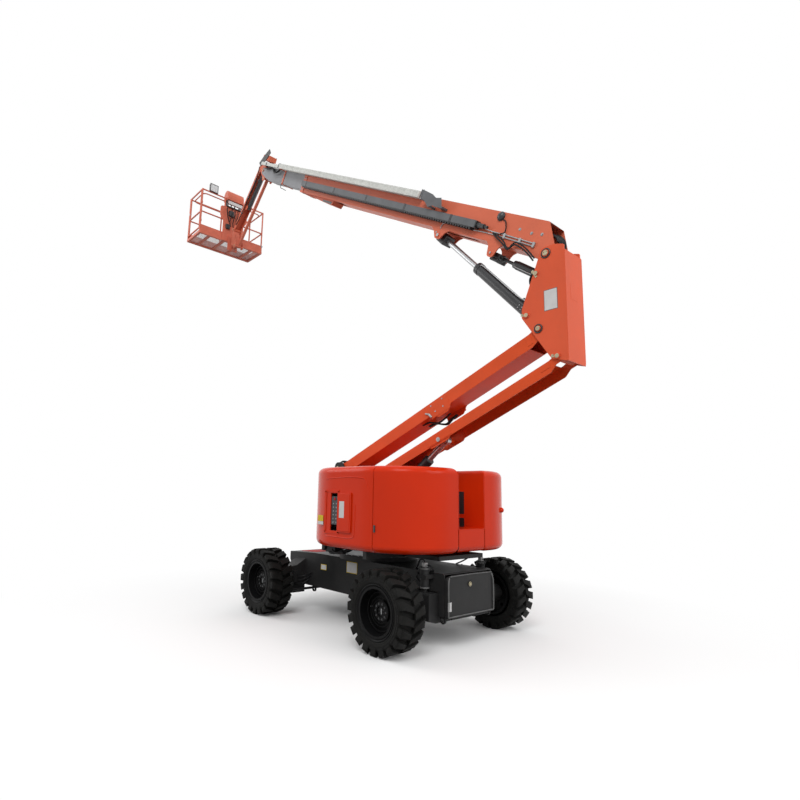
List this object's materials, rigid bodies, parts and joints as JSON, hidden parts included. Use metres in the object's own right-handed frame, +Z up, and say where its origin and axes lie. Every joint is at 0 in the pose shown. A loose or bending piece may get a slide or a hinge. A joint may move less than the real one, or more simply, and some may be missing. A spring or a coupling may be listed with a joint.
{
  "type": "articulating boom lift",
  "caption": "Self-propelled articulating boom lift with raised parallel riser links, telescopic main boom, jib and railed turning platform.",
  "frame": {"origin": "on the ground under the axis on which the turntable slews", "axes": "+X forward, the way the boom and platform point, +Y to the machine's left, +Z up"},
  "size_m": [9.031, 2.466, 9.0643],
  "materials": {
    "frame_orange": "semi-gloss orange paint",
    "frame_grey": "dark grey paint",
    "hood_orange": "orange moulded cover",
    "rim_dark": "dark grey paint",
    "tyre": "worn black rubber",
    "cylinder_black": "black paint",
    "cylinder_rod": "hard chrome",
    "plastic_black": "black moulded plastic",
    "bar_black": "black paint",
    "carrier_pale": "pale zinc coating",
    "fly_grey": "mid grey paint",
    "steel": "bright steel",
    "ballast": "painted cast iron",
    "battery": "dark case",
    "grating": "zinc coated mesh",
    "console_orange": "orange moulded cover",
    "lamp": "pale grey case"
  },
  "bodies": {
    "chassis": {"chassis_frame": "frame_grey", "slew_bearing": "steel", "rear_axle": "frame_grey", "axle_lock_cylinders": "frame_grey", "front_axle": "frame_grey"},
    "knuckle_left": {"steer_knuckle_left": "frame_grey"},
    "knuckle_right": {"steer_knuckle_right": "frame_grey"},
    "tie_rod": {"steering_rod": "frame_grey"},
    "wheel_front_left": {"rim_fl": "rim_dark", "tyre_fl": "tyre"},
    "wheel_front_right": {"rim_fr": "rim_dark", "tyre_fr": "tyre"},
    "wheel_rear_left": {"rim_rl": "rim_dark", "tyre_rl": "tyre"},
    "wheel_rear_right": {"rim_rr": "rim_dark", "tyre_rr": "tyre"},
    "tail_cover": {"rear_cover": "frame_grey"},
    "turntable": {"turntable_frame": "frame_grey", "counterweight": "ballast", "battery_pack": "battery", "hood_front_left": "hood_orange", "hood_front_right": "hood_orange", "tail_channel": "hood_orange", "ground_control": "plastic_black"},
    "door_left": {"hood_door_left": "hood_orange"},
    "door_right": {"hood_door_right": "hood_orange"},
    "lid": {"control_lid": "hood_orange"},
    "riser_upper": {"upper_link": "frame_orange"},
    "riser_lower": {"lower_link": "frame_orange"},
    "riser_barrel": {"riser_cylinder_barrel": "cylinder_black"},
    "riser_rod": {"riser_cylinder_rod": "cylinder_rod"},
    "head": {"tower_head": "frame_orange"},
    "boom": {"boom_outer": "frame_orange", "boom_guide_tube": "bar_black", "track_guide": "frame_grey"},
    "fly": {"boom_fly": "fly_grey", "cable_carrier": "carrier_pale", "carrier_bracket": "frame_orange", "fly_conduit": "carrier_pale"},
    "lift_barrel": {"lift_cylinder_barrel": "cylinder_black"},
    "lift_rod": {"lift_cylinder_rod": "cylinder_rod"},
    "level_barrel": {"level_cylinder_barrel": "cylinder_black"},
    "level_rod": {"level_cylinder_rod": "cylinder_rod"},
    "tip": {"tip_bracket": "frame_orange", "tip_lever": "frame_grey"},
    "jib_arm": {"jib_upper_arm": "frame_orange"},
    "jib_link": {"jib_lower_arm": "frame_orange"},
    "jib_barrel": {"jib_cylinder_barrel": "cylinder_black"},
    "jib_rod": {"jib_cylinder_rod": "cylinder_rod"},
    "mount": {"platform_mount": "frame_orange"},
    "platform": {"platform_support": "frame_orange", "floor_frame": "frame_orange", "floor_grating": "grating", "platform_rails": "frame_orange", "console": "console_orange", "work_lamp": "lamp"},
    "gate": {"platform_gate": "frame_orange"}
  },
  "joints": [
    {"name": "slew", "type": "hinge", "parent": "chassis", "child": "turntable", "pos_m": [0, 0, 0.975], "axis": [0, 0, 1], "continuous": true},
    {"name": "steer_left", "type": "hinge", "parent": "chassis", "child": "knuckle_left", "pos_m": [1.26, 0.76, 0.457], "axis": [0, 0, 1], "range_deg": [-35, 35]},
    {"name": "steer_right", "type": "hinge", "parent": "chassis", "child": "knuckle_right", "pos_m": [1.26, -0.76, 0.457], "axis": [0, 0, 1], "range_deg": [-35, 35]},
    {"name": "steer_tie", "type": "slide", "parent": "chassis", "child": "tie_rod", "axis": [0, 1, 0], "range_m": [-0.14, 0.14]},
    {"name": "roll_front_left", "type": "hinge", "parent": "knuckle_left", "child": "wheel_front_left", "pos_m": [1.26, 1.055, 0.457], "axis": [0, 1, 0], "continuous": true},
    {"name": "roll_front_right", "type": "hinge", "parent": "knuckle_right", "child": "wheel_front_right", "pos_m": [1.26, -1.055, 0.457], "axis": [0, 1, 0], "continuous": true},
    {"name": "roll_rear_left", "type": "hinge", "parent": "chassis", "child": "wheel_rear_left", "pos_m": [-1.26, 1.055, 0.457], "axis": [0, 1, 0], "continuous": true},
    {"name": "roll_rear_right", "type": "hinge", "parent": "chassis", "child": "wheel_rear_right", "pos_m": [-1.26, -1.055, 0.457], "axis": [0, 1, 0], "continuous": true},
    {"name": "tail_cover_hinge", "type": "hinge", "parent": "chassis", "child": "tail_cover", "pos_m": [-1.621, 0, 0.3396], "axis": [0, -1, 0], "range_deg": [0, 90]},
    {"name": "door_left_hinge", "type": "hinge", "parent": "turntable", "child": "door_left", "pos_m": [-1.3, 0.2568, 2.023], "axis": [1, 0, 0], "range_deg": [0, 75]},
    {"name": "door_right_hinge", "type": "hinge", "parent": "turntable", "child": "door_right", "pos_m": [-1.3, -0.2568, 2.023], "axis": [-1, 0, 0], "range_deg": [0, 75]},
    {"name": "control_lid_hinge", "type": "hinge", "parent": "turntable", "child": "lid", "pos_m": [-0.494, 1.161, 1.505], "axis": [0, 0, -1], "range_deg": [0, 180]},
    {"name": "riser_lift", "type": "hinge", "parent": "turntable", "child": "riser_upper", "pos_m": [0.735, 0, 2.126], "axis": [0, 1, 0], "range_deg": [-30.3, 39.2]},
    {"name": "riser_link", "type": "hinge", "parent": "turntable", "child": "riser_lower", "pos_m": [0.521, 0, 1.777], "axis": [0, 1, 0], "range_deg": [-30.3, 39.2]},
    {"name": "head_level", "type": "hinge", "parent": "riser_upper", "child": "head", "pos_m": [-2.72199, 0, 3.57918], "axis": [0, 1, 0], "range_deg": [-39.2, 30.3]},
    {"name": "riser_barrel_pivot", "type": "hinge", "parent": "turntable", "child": "riser_barrel", "pos_m": [0.1, 0, 1.35], "axis": [0, 1, 0], "range_deg": [-31, 40]},
    {"name": "riser_rod_slide", "type": "slide", "parent": "riser_barrel", "child": "riser_rod", "axis": [-0.7791, 0, 0.6269], "range_m": [-0.32, 0.41]},
    {"name": "boom_lift", "type": "hinge", "parent": "head", "child": "boom", "pos_m": [-2.83899, 0, 4.42418], "axis": [0, 1, 0], "range_deg": [-43.9, 46.1]},
    {"name": "lift_barrel_pivot", "type": "hinge", "parent": "head", "child": "lift_barrel", "pos_m": [-2.58199, 0, 3.76618], "axis": [0, 1, 0], "range_deg": [-39, 41]},
    {"name": "lift_rod_slide", "type": "slide", "parent": "lift_barrel", "child": "lift_rod", "axis": [0.6697, 0, 0.7426], "range_m": [-0.51, 0.49]},
    {"name": "level_barrel_pivot", "type": "hinge", "parent": "head", "child": "level_barrel", "pos_m": [-2.71499, 0, 4.22618], "axis": [0, 1, 0], "range_deg": [-45, 47]},
    {"name": "level_rod_slide", "type": "slide", "parent": "level_barrel", "child": "level_rod", "axis": [0.7979, 0, 0.6028], "range_m": [-0.19, 0.18]},
    {"name": "boom_extend", "type": "slide", "parent": "boom", "child": "fly", "axis": [0.8563, 0, 0.5165], "range_m": [-0.84, 2.3]},
    {"name": "tip_level", "type": "hinge", "parent": "fly", "child": "tip", "pos_m": [3.73735, 0, 8.62487], "axis": [0, 1, 0], "range_deg": [-46.1, 43.9]},
    {"name": "jib_lift", "type": "hinge", "parent": "tip", "child": "jib_arm", "pos_m": [3.88735, 0, 8.90687], "axis": [0, -1, 0], "range_deg": [-15.5, 94.5]},
    {"name": "jib_link_pivot", "type": "hinge", "parent": "tip", "child": "jib_link", "pos_m": [3.77035, 0, 8.47087], "axis": [0, -1, 0], "range_deg": [-15.5, 94.5]},
    {"name": "mount_level", "type": "hinge", "parent": "jib_arm", "child": "mount", "pos_m": [5.04995, 0, 7.76439], "axis": [0, -1, 0], "range_deg": [-94.5, 15.5]},
    {"name": "jib_barrel_pivot", "type": "hinge", "parent": "jib_arm", "child": "jib_barrel", "pos_m": [4.54763, 0, 8.11782], "axis": [0, -1, 0], "range_deg": [-1, 1]},
    {"name": "jib_rod_slide", "type": "slide", "parent": "jib_barrel", "child": "jib_rod", "axis": [-0.7252, 0, 0.6885], "range_m": [-0.05, 0.25]},
    {"name": "platform_turn", "type": "hinge", "parent": "mount", "child": "platform", "pos_m": [5.14, 0, 7.5], "axis": [0, 0, 1], "range_deg": [-80, 80]},
    {"name": "gate_swing", "type": "hinge", "parent": "platform", "child": "gate", "pos_m": [5.307, 0.793, 8.1], "axis": [0, 0, 1], "range_deg": [0, 90]}
  ],
  "couplings": [
    {"joint": "steer_right", "follows": "steer_left", "ratio": 1},
    {"joint": "steer_tie", "follows": "steer_left", "m_per_rad": -0.19},
    {"joint": "riser_link", "follows": "riser_lift", "ratio": 1},
    {"joint": "head_level", "follows": "riser_lift", "ratio": -1},
    {"joint": "riser_barrel_pivot", "follows": "riser_lift", "ratio": 1.0069},
    {"joint": "riser_rod_slide", "follows": "riser_lift", "m_per_rad": 0.5775},
    {"joint": "lift_barrel_pivot", "follows": "boom_lift", "ratio": 0.8686},
    {"joint": "lift_rod_slide", "follows": "boom_lift", "m_per_rad": -0.6128},
    {"joint": "level_barrel_pivot", "follows": "boom_lift", "ratio": 0.998},
    {"joint": "level_rod_slide", "follows": "boom_lift", "m_per_rad": -0.2188},
    {"joint": "tip_level", "follows": "boom_lift", "ratio": -1},
    {"joint": "jib_link_pivot", "follows": "jib_lift", "ratio": 1},
    {"joint": "mount_level", "follows": "jib_lift", "ratio": -1},
    {"joint": "jib_barrel_pivot", "follows": "jib_lift", "ratio": 0.004},
    {"joint": "jib_rod_slide", "follows": "jib_lift", "m_per_rad": 0.135}
  ]
}
